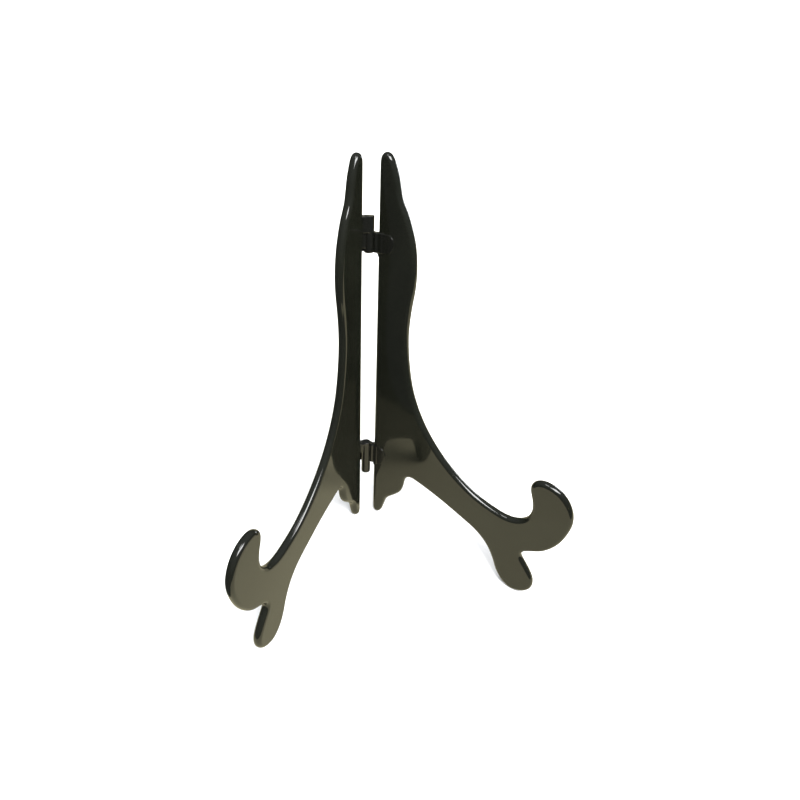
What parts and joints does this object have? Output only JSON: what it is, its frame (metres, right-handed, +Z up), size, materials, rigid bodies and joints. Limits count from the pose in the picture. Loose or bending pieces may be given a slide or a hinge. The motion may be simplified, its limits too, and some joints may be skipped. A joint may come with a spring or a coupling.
{
  "type": "folding album stand",
  "caption": "Folding tabletop stand for an album or plate: mirrored scroll-shaped frames in glossy black plastic, snap-hinged along their backs and opened to a V.",
  "frame": {"origin": "centre of the footprint's bounding box at table level, with the stand open", "axes": "+Z up, open side and album rests towards -Y, X = 0 is the plane of symmetry between the frames"},
  "size_m": [0.159, 0.125, 0.1775],
  "materials": {
    "frame_plastic": "high gloss moulded black",
    "hinge_plastic": "gloss moulded black, slightly duller in the joints"
  },
  "bodies": {
    "right_half": {"right_frame": "frame_plastic", "upper_hinge_clip": "hinge_plastic", "lower_hinge_clip": "hinge_plastic"},
    "left_half": {"left_frame": "frame_plastic", "upper_hinge_post": "hinge_plastic", "lower_hinge_post": "hinge_plastic"}
  },
  "joints": [
    {"name": "fold", "type": "hinge", "parent": "right_half", "child": "left_half", "pos_m": [0, 0.0052, -0.0012], "axis": [0, 0.3123, 0.95], "range_deg": [0, 90]}
  ]
}
